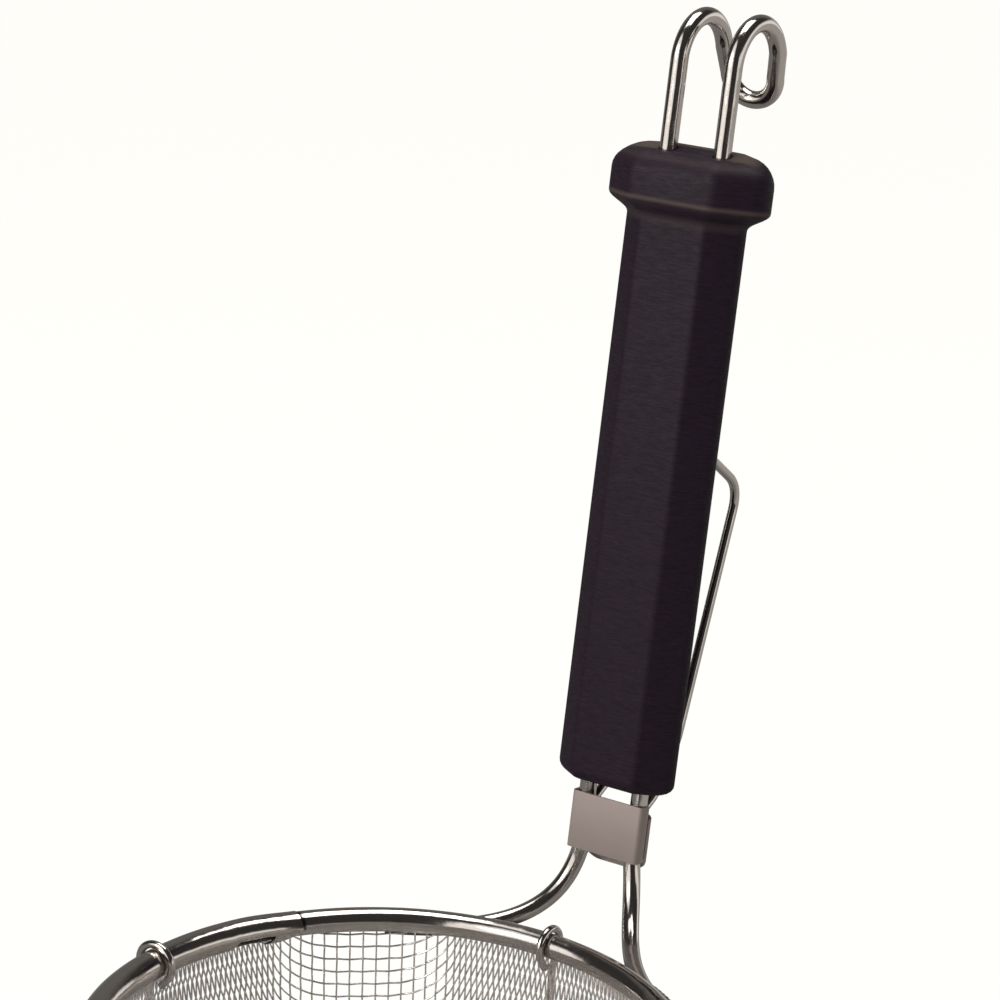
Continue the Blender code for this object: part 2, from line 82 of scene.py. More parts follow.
def colour(label, text, default):
    return FloatVectorProperty(name=label, description=text, default=default, size=3, subtype="COLOR",
                               min=0.0, max=1.0)


def direction(label, text, default, subtype="NONE"):
    return FloatVectorProperty(name=label, description=text, default=default, size=3, subtype=subtype,
                               precision=5)


class RimSizes(bpy.types.PropertyGroup):
    """Sizes of the rolled rim and its seam."""
    ring_radius: size("Ring radius", "From the basket's axis to the middle of the rolled tube", 70.75)
    tube_radius: size("Tube radius", "Outside radius of the rolled tube", 3.25)
    sheet: size("Sheet", "Thickness of the rolled strip", 0.45)
    sleeve_growth: FloatProperty(name="Sleeve growth", default=1.186, min=1.0,
                                 description="How much wider the tube is where it sleeves over its own start")
    seam: angle("Seam", "Direction of the sleeve's end, from the handle towards the right", -53.1)
    lap: angle("Lap", "How far the sleeve runs over the start", 20.4)
    slot: size("Slot", "Half width of the opening underneath that takes the net", 0.85)


class NetSizes(bpy.types.PropertyGroup):
    """Sizes of the woven net and of the cup that it's pressed into."""
    pitch: size("Pitch", "Distance between neighbouring wires", 3.4)
    row: size("Row", "Height of one row of cells up the wall", 3.465)
    wire: size("Wire", "Radius of one net wire", 0.24)
    wave: size("Wave", "How far a wire swings to pass its neighbours", 0.25)
    depth: size("Depth", "From the middle of the rim to the floor", 135.0)
    foot: size("Foot radius", "Radius of the cup where its rounded corner starts", 66.5)
    corner: size("Corner", "Radius of the rounded corner between wall and floor", 38.0)
    turn: angle("Turn", "Direction of the square field of the net, from the handle", -39.7)


class HandleSizes(bpy.types.PropertyGroup):
    """Sizes of the bent rod, the collar, the grip and the clip."""
    rod: size("Rod radius", "Radius of the bent rod", 2.25)
    spacing: size("Spacing", "Distance between the rod's two legs", 15.5)
    tilt: angle("Tilt", "How far the handle leans outwards", 8.3)
    offset: size("Offset", "Where the handle's axis meets the rim's level", 96.2)
    crown: size("Crown", "Height of the hook's crown along the handle", 230.9)
    hook: size("Hook radius", "Radius of the hook's arches", 11.2)
    grip_start: size("Grip start", "Lower end of the grip along the handle", 34.9)
    grip_length: size("Grip length", "Length of the grip", 162.7)
    collar_start: size("Collar start", "Lower edge of the collar along the handle", 16.0)
    collar_height: size("Collar height", "Height of the collar's front plate", 15.2)
    clip: size("Clip wire", "Radius of the clip's wire", 1.25)


class FinishColours(bpy.types.PropertyGroup):
    """Colours of the finishes."""
    steel: colour("Polished steel", "Rods, rim and ribs", (0.60, 0.565, 0.535))
    net: colour("Net wire", "The woven net", (0.84, 0.81, 0.78))
    plate: colour("Collar sheet", "The folded collar", (0.34, 0.285, 0.268))
    plastic: colour("Grip plastic", "The moulded grip", (0.0118, 0.0046, 0.0131))
    floor: colour("Floor", "The pale floor and backdrop", (0.86, 0.855, 0.84))


class CameraSettings(bpy.types.PropertyGroup):
    """Where the camera stands."""
    place: direction("Place", "The camera's position", (0.42486, -0.75042, 0.15114), "TRANSLATION")
    right: direction("Right", "The picture's horizontal direction", (0.8252, 0.56398, 0.03111))
    up: direction("Up", "The picture's vertical direction", (-0.21236, 0.25875, 0.94231))
    focal: FloatProperty(name="Focal length", description="Lens in millimetres", default=124.75)
    shift_x: FloatProperty(name="Shift X", description="Sideways lens shift", default=0.04)
    shift_y: FloatProperty(name="Shift Y", description="Upward lens shift", default=0.1)


# Shader helpers


class Field:
    """A number that changes over a surface: arithmetic on it adds Math nodes."""

    def __init__(self, finish, socket):
        self.finish = finish
        self.socket = socket

    def _math(self, operation, first, second):
        node = self.finish.node("ShaderNodeMath", {"operation": operation}, {0: first, 1: second})
        return Field(self.finish, node.outputs[0])

    def __add__(self, other):
        return self._math("ADD", self, other)

    def __rsub__(self, other):
        return self._math("SUBTRACT", other, self)

    def __mul__(self, other):
        return self._math("MULTIPLY", self, other)

    __radd__ = __add__

    def larger(self, other):
        return self._math("MAXIMUM", self, other)

    def between(self, low, high):
        """0 below low, 1 above high, smooth between."""
        node = self.finish.node("ShaderNodeMapRange", {"interpolation_type": "SMOOTHSTEP"},
                                {"Value": self, "From Min": low, "From Max": high})
        return Field(self.finish, node.outputs["Result"])


class Finish:
    """The node tree of a material or the world."""

    def __init__(self, tree):
        self.tree = tree

    def node(self, kind, settings=None, inputs=None):
        made = self.tree.nodes.new(kind)
        for name, value in (settings or {}).items():
            setattr(made, name, value)
        return self.fill(made, inputs or {})

    def fill(self, node, inputs):
        """Sets or links a node's inputs."""
        for name, value in inputs.items():
            self.feed(node.inputs[name], value)
        return node

    def feed(self, socket, value):
        if isinstance(value, Field):
            value = value.socket
        if isinstance(value, bpy.types.NodeSocket):
            self.tree.links.new(value, socket)
        else:
            socket.default_value = value

    def field(self, node, output):
        return Field(self, node.outputs[output])

    def attribute(self, name):
        return self.field(self.node("ShaderNodeAttribute", {"attribute_name": name}), "Fac")

    def ray(self, kind):
        return self.field(self.node("ShaderNodeLightPath"), kind)

    def along(self, vector, direction):
        """How far a vector reaches along a direction."""
        node = self.node("ShaderNodeVectorMath", {"operation": "DOT_PRODUCT"}, {0: vector, 1: tuple(direction)})
        return self.field(node, "Value")

    def coordinates(self, turn=(0.0, 0.0, 0.0), scale=(1.0, 1.0, 1.0)):
        """Object coordinates in metres, turned and then stretched."""
        place = self.node("ShaderNodeTexCoord").outputs["Object"]
        for name, value in (("Rotation", turn), ("Scale", scale)):
            place = self.node("ShaderNodeMapping", None, {"Vector": place, name: value}).outputs[0]
        return place

    def noise(self, vector, scale, detail=2.0, roughness=0.5):
        node = self.node("ShaderNodeTexNoise", None,
                         {"Vector": vector, "Scale": scale, "Detail": detail, "Roughness": roughness})
        return self.field(node, "Fac")

    def mix(self, factor, first, second):
        """A colour between two others."""
        first, second = ((*end, 1.0) if isinstance(end, tuple) else end for end in (first, second))
        return self.node("ShaderNodeMix", {"data_type": "RGBA"}, {"Factor": factor, 6: first, 7: second}).outputs[2]

    def bump(self, height, strength, distance):
        node = self.node("ShaderNodeBump", None, {"Height": height, "Strength": strength, "Distance": distance})
        return node.outputs["Normal"]

    def blend(self, factor, first, second):
        """A shader between two others."""
        return self.node("ShaderNodeMixShader", None, {0: factor, 1: first.outputs[0], 2: second.outputs[0]})

    def show(self, shader):
        output = next(node for node in self.tree.nodes if node.type.startswith("OUTPUT"))
        self.feed(output.inputs["Surface"], shader.outputs[0])


def shader_of(made):
    return made.node_tree.nodes["Principled BSDF"]


def tone(base, factor):
    return tuple(min(1.0, channel * factor) for channel in base)


def made_once(name, setting):
    """Turns a function that fills in a new material into one that gives the material and makes it only once."""
    def keep(fill):
        def fetch():
            made = bpy.data.materials.get(name)
            if made is None:
                made = bpy.data.materials.new(name)
                made.use_nodes = True
                base = tuple(getattr(bpy.context.scene.strainer_colours, setting))
                fill(Finish(made.node_tree), shader_of(made), base)
            return made
        return fetch
    return keep


@made_once("finish_polished_steel", "steel")
def polished_steel(finish, shader, base):
    """Bright drawn and polished rod: soft dents bend the reflections, faint streaks dull them."""
    place = finish.coordinates()
    dents = finish.noise(place, 85.0)
    grain = finish.noise(place, 900.0, 3.0)
    finish.fill(shader, {
        "Metallic": 1.0,
        "Base Color": finish.mix(grain, tone(base, 0.93), tone(base, 1.05)),
        "Roughness": grain * 0.08 + 0.09,
        "Normal": finish.bump(dents + grain * 0.04, 0.5, 0.0006),
    })


# Colour of the painted shade inside the rim's tube and under the sleeve's end.
PAINTED_SHADE_COLOUR = (0.03, 0.026, 0.028)
SCORCHED = (0.13, 0.112, 0.105)
# Pale brown of the painted highlight on the grip's flare.
PAINTED_HIGHLIGHT = (0.085, 0.063, 0.052)
SCORCH_START, SCORCH_RUN = mm(1.4), mm(1.2)


def darkened_steel(name, share, dark):
    """Polished steel that takes the colour dark where share, a function of the finish, gives a field above 0."""
    made = bpy.data.materials.get(name)
    if made is None:
        made = polished_steel().copy()
        made.name = name
        finish = Finish(made.node_tree)
        base = shader_of(made).inputs["Base Color"]
        finish.feed(base, finish.mix(share(finish), base.links[0].from_socket, dark))
    return made


def scorch(finish):
    """How far the weld's heat has blackened the rod, which passes under the rim at its ends."""
    height = finish.along(finish.coordinates(), UP)
    return (-hook_crown().z - SCORCH_START - height).between(0.0, SCORCH_RUN)


def welded_steel():
    return darkened_steel("finish_welded_steel", scorch, SCORCHED)


def rim_steel():
    """The rim's polished steel, with painted shade inside the tube and a painted shadow under the sleeve's end."""
    return darkened_steel("finish_rim_steel", lambda finish: finish.attribute("grime"), PAINTED_SHADE_COLOUR)


@made_once("finish_net_wire", "net")
def net_steel(finish, shader, base):
    """Thin bright wire, a little duller than the rods."""
    spread = finish.noise(finish.coordinates(), 260.0)
    finish.fill(shader, {
        "Metallic": 0.85,
        "Base Color": finish.mix(spread, tone(base, 0.8), tone(base, 1.15)),
        "Roughness": spread * 0.12 + 0.2,
    })


@made_once("finish_collar_sheet", "plate")
def collar_steel(finish, shader, base):
    """Pressed sheet: an even satin face with fine upright grain."""
    place = finish.coordinates((bpy.context.scene.strainer_handle.tilt, 0.0, 0.0), (1.0, 1.0, 0.12))
    grain = finish.noise(place, 2600.0, 3.0, 0.6)
    cloud = finish.noise(finish.coordinates(), 160.0)
    finish.fill(shader, {
        "Metallic": 0.4,
        "Base Color": finish.mix(cloud, tone(base, 0.94), tone(base, 1.04)),
        "Roughness": grain * 0.1 + cloud * 0.06 + 0.56,
        "Normal": finish.bump(grain * 0.25 + cloud, 0.25, 0.00018),
    })


@made_once("finish_grip_plastic", "plastic")
def grip_plastic(finish, shader, base):
    """Matte black moulding with fine lines across the grip, and a painted highlight in pale brown where its point
    attribute says so.
    """
    along = finish.coordinates((bpy.context.scene.strainer_handle.tilt, 0.0, 0.0), (0.10, 0.10, 1.0))
    lines = finish.noise(along, 3100.0, 3.0, 0.65)
    broad = finish.noise(along, 620.0)
    mottle = finish.noise(finish.coordinates(), 1500.0)
    streak = (lines * 0.75 + broad * 0.1 + mottle * 0.15).between(0.36, 0.66)
    lined = finish.mix(streak, tone(base, 0.68), tone(base, 1.38))
    finish.fill(shader, {
        # Painted highlight: pale brown where the point attribute says so.
        "Base Color": finish.mix(finish.attribute("sheen"), lined, PAINTED_HIGHLIGHT),
        "Roughness": 0.66 - streak * 0.12,
        "Normal": finish.bump(lines * 0.7 + mottle * 0.3, 0.32, 0.00012),
        "Specular IOR Level": 0.24,
    })


# Geometry helpers


def deselect():
    if bpy.context.object and bpy.context.object.mode != "OBJECT":
        bpy.ops.object.mode_set(mode="OBJECT")
    bpy.ops.object.select_all(action="DESELECT")


def select_only(piece):
    deselect()
    piece.select_set(True)
    bpy.context.view_layer.objects.active = piece


def edit_mesh(*steps):
    """Runs (operator, settings) pairs in edit mode, each on the whole mesh."""
    bpy.ops.object.mode_set(mode="EDIT")
    for operator, settings in steps:
        bpy.ops.mesh.select_all(action="SELECT")
        operator(**settings)
    bpy.ops.object.mode_set(mode="OBJECT")


FACE_OUTWARDS = (bpy.ops.mesh.normals_make_consistent, {"inside": False})


def modify(piece, kind, **settings):
    """Applies a modifier to a piece."""
    select_only(piece)
    modifier = piece.modifiers.new(kind.lower(), kind)
    for name, value in settings.items():
        setattr(modifier, name, value)
    bpy.ops.object.modifier_apply(modifier=modifier.name)


def cut(piece, operation, block):
    """Cuts a piece with a block, which goes."""
    modify(piece, "BOOLEAN", operation=operation, solver="EXACT", object=block)
    bpy.data.objects.remove(block)


def handle_point(u, q, length):
    """A point from the handle's own frame, in the rim's frame: u across, q outwards, length up the rods."""
    sizes = bpy.context.scene.strainer_handle
    sin, cos = math.sin(sizes.tilt), math.cos(sizes.tilt)
    return Vector((u, sizes.offset + length * sin + q * cos, length * cos - q * sin))


def hook_crown():
    sizes = bpy.context.scene.strainer_handle
    return handle_point(0.0, sizes.hook, sizes.crown - sizes.rod)


def complete(piece, name, nodes, made=None, body=BODY, smooth=180.0):
    """Names and dresses a finished piece, in polished steel unless told otherwise, and hands it to its body.

    The piece is made in the rim's frame. It moves to the row's frame, whose origin is under the hook's crown.
    """
    select_only(piece)
    piece.name = name
    piece.data.name = name
    bpy.ops.object.transform_apply(location=True, rotation=True, scale=True)
    piece.data.materials.clear()
    piece.data.materials.append(made or polished_steel())
    bpy.ops.object.shade_smooth_by_angle(angle=math.radians(smooth))
    piece.data.transform(Matrix.Translation(-hook_crown()))
    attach(piece, body)
    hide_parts(*nodes)
    deselect()


def arc(centre, start, end, first, second, radius, steps):
    points = []
    for step in range(steps + 1):
        turn = start + (end - start) * step / steps
        points.append(centre + first * (radius * math.cos(turn)) + second * (radius * math.sin(turn)))
    return points


def rounded(points, radius, steps=8):
    """Rounds the inner corners of an open run of points with short curves that leave along its legs."""
    result = [points[0]]
    for before, corner, after in zip(points, points[1:], points[2:]):
        back = (before - corner).normalized()
        ahead = (after - corner).normalized()
        half = back.angle(ahead) / 2
        reach = min(radius / math.tan(half), (before - corner).length * 0.45, (after - corner).length * 0.45)
        start, end = corner + back * reach, corner + ahead * reach
        for step in range(steps + 1):
            t = step / steps
            result.append(start * (1 - t) ** 2 + corner * (2 * t * (1 - t)) + end * t ** 2)
    result.append(points[-1])
    return result


def mirrored(points):
    """The mirror images of a run of points on the handle's right, from its last to its first."""
    return [Vector((-point.x, point.y, point.z)) for point in reversed(points)]


def wire_piece(points, radius, sides=16, cyclic=False):
    """A drawn wire: a curve through the points, given its thickness and made a mesh."""
    bpy.ops.curve.primitive_nurbs_path_add()
    curve = bpy.context.object.data
    curve.splines.clear()
    spline = curve.splines.new("POLY")
    spline.points.add(len(points) - 1)
    for target, point in zip(spline.points, points):
        target.co = (*point, 1.0)
    spline.use_cyclic_u = cyclic
    curve.resolution_u = 1
    curve.bevel_depth = radius
    curve.bevel_resolution = sides // 2 - 2
    curve.use_fill_caps = not cyclic
    bpy.ops.object.convert(target="MESH")
    edit_mesh((bpy.ops.mesh.remove_doubles, {"threshold": 1e-6}), FACE_OUTWARDS)
    return bpy.context.object


def soften_ends(piece, width, degrees=60.0, segments=2):
    """A small bevel on the sharp edges of a piece's ends."""
    modify(piece, "BEVEL", width=width, segments=segments, limit_method="ANGLE", angle_limit=math.radians(degrees))


def on_ring(turn, radius, height):
    return Vector((radius * math.sin(turn), radius * math.cos(turn), height))


def new_piece(name, verts, faces, edges=()):
    mesh = bpy.data.meshes.new(name)
    mesh.from_pydata(verts, edges, faces)
    piece = bpy.data.objects.new(name, mesh)
    bpy.context.scene.collection.objects.link(piece)
    select_only(piece)
    return piece


def ring_piece(name, rows):
    """A mesh over closed rings of points, with a face over each end: rows has the shape (rings, points, 3)."""
    count, width = rows.shape[:2]
    faces = []
    for i in range(count - 1):
        for j in range(width):
            a, b = i * width + j, i * width + (j + 1) % width
            faces.append((a, b, b + width, a + width))
    faces.append(tuple(range(width)))
    faces.append(tuple(range((count - 1) * width, count * width))[::-1])
    piece = new_piece(name, rows.reshape(-1, 3).tolist(), faces)
    edit_mesh(FACE_OUTWARDS)
    return piece


def limited(value):
    return min(1.0, max(0.0, value))


def eased(value):
    """0 up to 0, 1 from 1 on, smooth between."""
    value = limited(value)
    return value * value * (3 - 2 * value)


# The rim


CORE_WIRE, CORE_GAP = mm(1.2), mm(0.15)
SLEEVE_START, SLEEVE_RUN = 0.72, 0.2
SLANT_REACH, SINK_REACH = math.radians(12.0), math.radians(14.0)
TUBE_WAVES = ((5, 0.4, 0.004), (11, 1.9, 0.004), (23, 0.8, 0.0025))
LIP, LIP_WAVES = 0.20, ((7, 0.3, 0.08), (17, 2.0, 0.06), (41, 1.1, 0.03))
LIP_LIFTS = ((-40.0, -19.5, 0.12), (289.6, 303.0, 0.98))
LIFT_EDGE = 2.0


def ripple(turn, terms):
    """A smooth wave round the rim, from (count, phase, height) terms."""
    return float(sum(height * np.sin(count * turn + phase) for count, phase, height in terms))


def seam_slant(around):
    """How far the sleeve's end is cut back at a place round its section, as an angle of the rim."""
    low, high = max(0.0, -math.sin(around)), max(0.0, math.sin(around))
    inner = math.cos(around - math.radians(165.0))
    return math.radians(0.2 + 6.0 * low ** 1.1 + 0.5 * high ** 3 + 0.3 * (1 - inner))


def rim_rows(sizes):
    """Sections of the rolled strip round the rim, with the sleeve's slanted end and its uneven lower lip.

    Also gives how much painted shade each point takes: full inside the tube and where the sleeve covers its start.
    """
    steps_round = 700
    start = sizes.seam - sizes.lap
    sweep = 2 * math.pi + sizes.lap
    middle = sizes.tube_radius - sizes.sheet / 2
    half_slot = math.asin(sizes.slot / middle)
    steps = 26
    rows, grime = [], []
    for index in range(steps_round + 1):
        share = index / steps_round
        turn = start + sweep * share
        grow = 1.0 + (sizes.sleeve_growth - 1.0) * eased((share - SLEEVE_START) / SLEEVE_RUN)
        grow *= 1.0 + ripple(turn, TUBE_WAVES)
        lip = LIP + ripple(turn, LIP_WAVES)
        near = math.degrees(turn)
        for low, high, lift in LIP_LIFTS:
            lip += lift * limited(min(near - low, high - near) / LIFT_EDGE)
        first = -math.pi / 2 + half_slot * 0.6
        last = 3 * math.pi / 2 - half_slot - max(0.0, lip)
        left = sweep * (1 - share)
        slant = eased(1.0 - left / SLANT_REACH)
        sink = eased(1.0 - left / SINK_REACH) * (grow - 1.0) * sizes.tube_radius * 0.75
        section = []
        for wall, order in ((sizes.tube_radius, 1), (sizes.tube_radius - sizes.sheet, -1)):
            for step in range(steps + 1)[::order]:
                around = first + (last - first) * step / steps
                radius = wall * grow
                past = math.degrees(turn - sizes.seam + seam_slant(around))
                # Painted shade: full on the tube's inner wall and on its start under the sleeve, fading out just
                # past the sleeve's end.
                grime.append(1.0 if radius < middle else limited(1.0 - (past - 0.4) / 0.6))
                radius *= 1.0 - 0.05 * max(0.0, math.cos(around - math.radians(228.0))) ** 3
                section.append(on_ring(turn - seam_slant(around) * slant,
                                       sizes.ring_radius + radius * math.cos(around),
                                       radius * math.sin(around) - sink))
        rows.append(section)
    return np.array(rows), grime


class STRAINER_OT_rim(bpy.types.Operator):
    """Roll the rim's strip round its wire and lap its ends"""
    bl_idname = "strainer.rim"
    bl_label = "Rim"

    def execute(self, context):
        sizes = context.scene.strainer_rim
        rows, grime = rim_rows(sizes)
        band = ring_piece("rim_shell", rows)
        # The painted shade is kept as a point attribute for the rim's material.
        band.data.attributes.new("grime", "FLOAT", "POINT").data.foreach_set("value", grime)
        complete(band, "rim_shell", ["rim_band"], rim_steel(), smooth=40)
        rise = sizes.tube_radius - sizes.sheet - CORE_WIRE - CORE_GAP
        ring = [on_ring(math.radians(step * 2), sizes.ring_radius, rise) for step in range(180)]
        complete(wire_piece(ring, CORE_WIRE, 12, cyclic=True), "rim_core_wire", ["rim_wire"])
        return {"FINISHED"}


# The net


def cup_line(net, rim):
    """Radius and height along the cup's middle line, from the floor's centre up, against the length run."""
    low = -net.depth + net.corner
    flat = np.stack([np.linspace(0, net.foot - net.corner, 12), np.full(12, -net.depth)], 1)
    turn = np.linspace(-math.pi / 2, 0, 40)[1:]
    bend = np.stack([net.foot - net.corner + net.corner * np.cos(turn), low + net.corner * np.sin(turn)], 1)
    top = np.array([[rim.ring_radius, -mm(4.85)], [rim.ring_radius, 0.0]])
    wall = bend[-1] + (top[0] - bend[-1]) * np.linspace(0, 1, 30)[1:, None]
    line = np.concatenate([flat, bend, wall, top[1:]])
    run = np.concatenate([[0.0], np.cumsum(np.hypot(*np.diff(line, axis=0).T))])
    return run, line[:, 0], line[:, 1]


HALF_FIELD = 7.5
FIELD_RISE = 0.000023
ROWS_TO_CORNER = 60.88
FLAT_REACH, FLAT_BLEND = mm(40.0), mm(32.0)
NET_STOP = mm(1.3)


def field_angle(count):
    return np.radians(2.78 * count - 0.005 * count ** 3)


def field_rise(count):
    return FIELD_RISE * count ** 3


def lay_on_cup(across, along, net, total):
    """Where a point of the flat net lands on the cup: length from the floor's centre, and direction."""
    ax, ay = np.abs(across), np.abs(along)
    planar = net.pitch * np.hypot(ax, ay)
    planar_turn = np.arctan2(ay, ax)
    edge_rise = field_rise(HALF_FIELD)
    edge_turn = field_angle(HALF_FIELD)
    big, small = np.maximum(ax, ay), np.minimum(ax, ay)
    in_field = small <= HALF_FIELD
    below = np.where(
        in_field,
        net.row * (ROWS_TO_CORNER - HALF_FIELD - big) + edge_rise - field_rise(small),
        net.row * (ROWS_TO_CORNER - big - small),
    )
    gap = np.maximum(ax + ay - 2 * HALF_FIELD, 1e-6)
    beside = edge_turn + (math.pi / 2 - 2 * edge_turn) * np.clip((ay - HALF_FIELD) / gap, 0, 1)
    field_turn = np.where(ax >= ay, field_angle(small), math.pi / 2 - field_angle(small))
    wall_turn = np.where(in_field, field_turn, beside)
    share = np.clip((planar - FLAT_REACH) / FLAT_BLEND, 0, 1)
    share = share * share * (3 - 2 * share)
    length = planar * (1 - share) + (total - below) * share
    turn = planar_turn * (1 - share) + wall_turn * share
    turn = np.where(across < 0, math.pi - turn, turn) * np.where(along < 0, -1, 1)
    return length, turn


def net_wire_path(fixed, family, net, line, total):
    """The path and surface normals of one net wire, from rim to rim, or None where it's outside the net."""
    run, radius, height = line
    fine = np.linspace(0, 62, 2481)
    length, _ = lay_on_cup(fine, np.full_like(fine, float(fixed)), net, total)
    inside = length <= total - NET_STOP
    inside &= np.cumsum(~inside) == 0
    if not inside[0]:
        return None
    reach = fine[inside][-1]
    if reach < 0.3:
        return None
    steps = np.arange(0, math.floor(reach * 2) + 1) / 2
    if reach - steps[-1] > 0.05:
        steps = np.append(steps, reach)
    steps = np.concatenate([-steps[:0:-1], steps])
    other = np.full_like(steps, float(fixed))
    across, along = (steps, other) if family == 0 else (other, steps)
    length, turn = lay_on_cup(across, along, net, total)
    r, z = np.interp(length, run, radius), np.interp(length, run, height)
    dr, dz = np.interp(length + 1e-4, run, radius) - r, np.interp(length + 1e-4, run, height) - z
    norm = np.maximum(np.hypot(dr, dz), 1e-9)
    out_r, out_z = dz / norm, -dr / norm
    late = length > run[-1] - 2e-4
    out_r, out_z = np.where(late, 1.0, out_r), np.where(late, 0.0, out_z)
    sign = np.cos(np.pi * (steps + fixed)) * (1 if family == 0 else -1)
    swing = net.wave * sign
    turn = turn + net.turn
    far = r + swing * out_r
    position = np.stack([far * np.sin(turn), far * np.cos(turn), z + swing * out_z], 1)
    normal = np.stack([out_r * np.sin(turn), out_r * np.cos(turn), out_z], 1)
    return position, normal


def unit(rows):
    return rows / np.maximum(np.linalg.norm(rows, axis=1), 1e-12)[:, None]


def tube_mesh(paths, radius, sides):
    """Vertices and faces of closed tubes along many paths."""
    verts, faces, start = [], [], 0
    corners = np.arange(sides) * 2 * np.pi / sides
    for position, normal in paths:
        along = unit(np.gradient(position, axis=0))
        side = unit(np.cross(along, normal))
        up = np.cross(side, along)
        ring = position[:, None] + radius * (np.cos(corners)[:, None] * up[:, None]
                                             + np.sin(corners)[:, None] * side[:, None])
        count = len(position)
        verts.append(ring.reshape(-1, 3))
        index = start + np.arange(count * sides).reshape(count, sides)
        a, b = index[:-1], np.roll(index, -1, axis=1)[:-1]
        c, d = np.roll(index, -1, axis=1)[1:], index[1:]
        faces.extend(map(tuple, np.stack([a, d, c, b], -1).reshape(-1, 4).tolist()))
        faces.append(tuple(index[0].tolist()))
        faces.append(tuple(index[-1][::-1].tolist()))
        start += count * sides
    return np.concatenate(verts).tolist(), faces


class STRAINER_OT_net(bpy.types.Operator):
    """Weave the net's two families of wires and press them into the cup"""
    bl_idname = "strainer.net"
    bl_label = "Net"

    def execute(self, context):
        net, rim = context.scene.strainer_net, context.scene.strainer_rim
        line = cup_line(net, rim)
        total = line[0][-1]
        for name, family, fixes in (("net_wires_a", 0, range(-60, 0)), ("net_wires_b", 0, range(61)),
                                    ("net_wires_c", 1, range(-60, 0)), ("net_wires_d", 1, range(61))):
            paths = [net_wire_path(fixed, family, net, line, total) for fixed in fixes]
            paths = [path for path in paths if path is not None]
            piece = new_piece(name, *tube_mesh(paths, net.wire, 6))
            complete(piece, name, ["mesh_basket"], net_steel())
        return {"FINISHED"}


# The ribs


RIB_WIRE, RIB_GAP, HALF_WALL = mm(1.0), mm(0.3), mm(0.5)
RIB_WRAP, RIB_TURN = math.radians(32.0), math.radians(1.0)
RIB_REACH = mm(5.6)


def rib_side(heading, tube, under, net, rim):
    """Half a rib, from the end of its hook inside the rim to the middle of the floor."""
    across = Vector((math.sin(heading), math.cos(heading), 0.0))
    clear = HALF_WALL + RIB_GAP + RIB_WIRE
    hook = tube + RIB_GAP + RIB_WIRE
    centre = across * (net.foot - net.corner) + UP * (net.corner - net.depth)
    side = [across * (rim.ring_radius - clear) - UP * RIB_REACH]
    side += arc(across * rim.ring_radius, math.pi + RIB_WRAP, -RIB_WRAP, across, UP, hook, 26)
    side.append(across * (rim.ring_radius + clear) - UP * (hook + 2 * RIB_WIRE))
    side += arc(centre, 0.0, math.pi / 2, across, -UP, net.corner + clear, 18)
    if under:
        middle = -UP * (net.depth + clear)
        side.append(across * (8 * RIB_WIRE) + middle)
        side.append(across * (3 * RIB_WIRE) + middle - UP * (2 * RIB_WIRE + RIB_GAP))
    return side


class STRAINER_OT_ribs(bpy.types.Operator):
    """Run the two ribs under the net and hook them over the rim"""
    bl_idname = "strainer.ribs"
    bl_label = "Ribs"

    def execute(self, context):
        net, rim = context.scene.strainer_net, context.scene.strainer_rim
        plain, sleeve = rim.tube_radius, rim.tube_radius * rim.sleeve_growth
        for kind, heading, second, under in (("long", 0.0, plain, False), ("cross", math.pi / 2, sleeve, True)):
            turn = heading + RIB_TURN
            points = rib_side(turn, plain, under, net, rim)
            points += rib_side(turn + math.pi, second, under, net, rim)[::-1]
            piece = wire_piece(points, RIB_WIRE)
            soften_ends(piece, mm(0.3))
            complete(piece, "rib_" + kind, ["rib_wire_" + kind])
        return {"FINISHED"}


# The bent rod and its welds


WELD_ANGLE = math.radians(31.0)
WELD_LENGTH = mm(11.0)
WELD_DROP = mm(3.7)
WELD_GAP, WELD_CLEARANCE, WELD_BEAD = mm(0.3), mm(0.15), mm(0.9)
YOKE_DROP = mm(19.7)
YOKE_RUN = mm(24.5)
YOKE_LEAN = math.radians(10.2)
HOOK_FLARE = math.radians(20.2)
HOOK_TAIL = mm(6.7)
HOOK_TAIL_RADIUS = mm(6.7)


def weld_reach(rim, handle):
    """From the middle of the rim's tube to the middle of the rod welded under it."""
    return rim.tube_radius + handle.rod + WELD_GAP


def rod_side(rim, handle):
    """Half of the bent rod: weld, yoke, collar, grip, hook and the tail's middle."""
    spread = handle.spacing / 2
    beside = math.sqrt(weld_reach(rim, handle) ** 2 - WELD_DROP ** 2)
    start = on_ring(WELD_ANGLE, rim.ring_radius + beside, -WELD_DROP)
    tangent = Vector((math.cos(WELD_ANGLE), -math.sin(WELD_ANGLE), 0.0))
    points = [start + tangent * (WELD_LENGTH / 2)]
    end = handle_point(spread, 0.0, handle.collar_start)
    axis = (handle_point(0, 0, 1) - handle_point(0, 0, 0)).normalized()
    lean = axis * math.cos(YOKE_LEAN) - Vector((math.sin(YOKE_LEAN), 0.0, 0.0))
    knots = (start, start - tangent * YOKE_RUN, end - lean * YOKE_DROP, end)
    for step in range(47):
        t = step / 46
        weights = ((1 - t) ** 3, 3 * t * (1 - t) ** 2, 3 * t ** 2 * (1 - t), t ** 3)
        points.append(sum((knot * weight for knot, weight in zip(knots, weights)), Vector()))
    outwards = (handle_point(0, 1, 0) - handle_point(0, 0, 0)).normalized()
    centre = handle_point(spread, handle.hook, handle.crown - handle.hook)
    points += arc(centre, math.pi, HOOK_FLARE, outwards, axis, handle.hook, 44)
    down = outwards * math.sin(HOOK_FLARE) - axis * math.cos(HOOK_FLARE)
    tail = Vector((0.0, points[-1].y, points[-1].z)) + down * HOOK_TAIL
    points += arc(tail, 0.0, math.pi / 2, Vector((1, 0, 0)), down, HOOK_TAIL_RADIUS, 20)
    return points


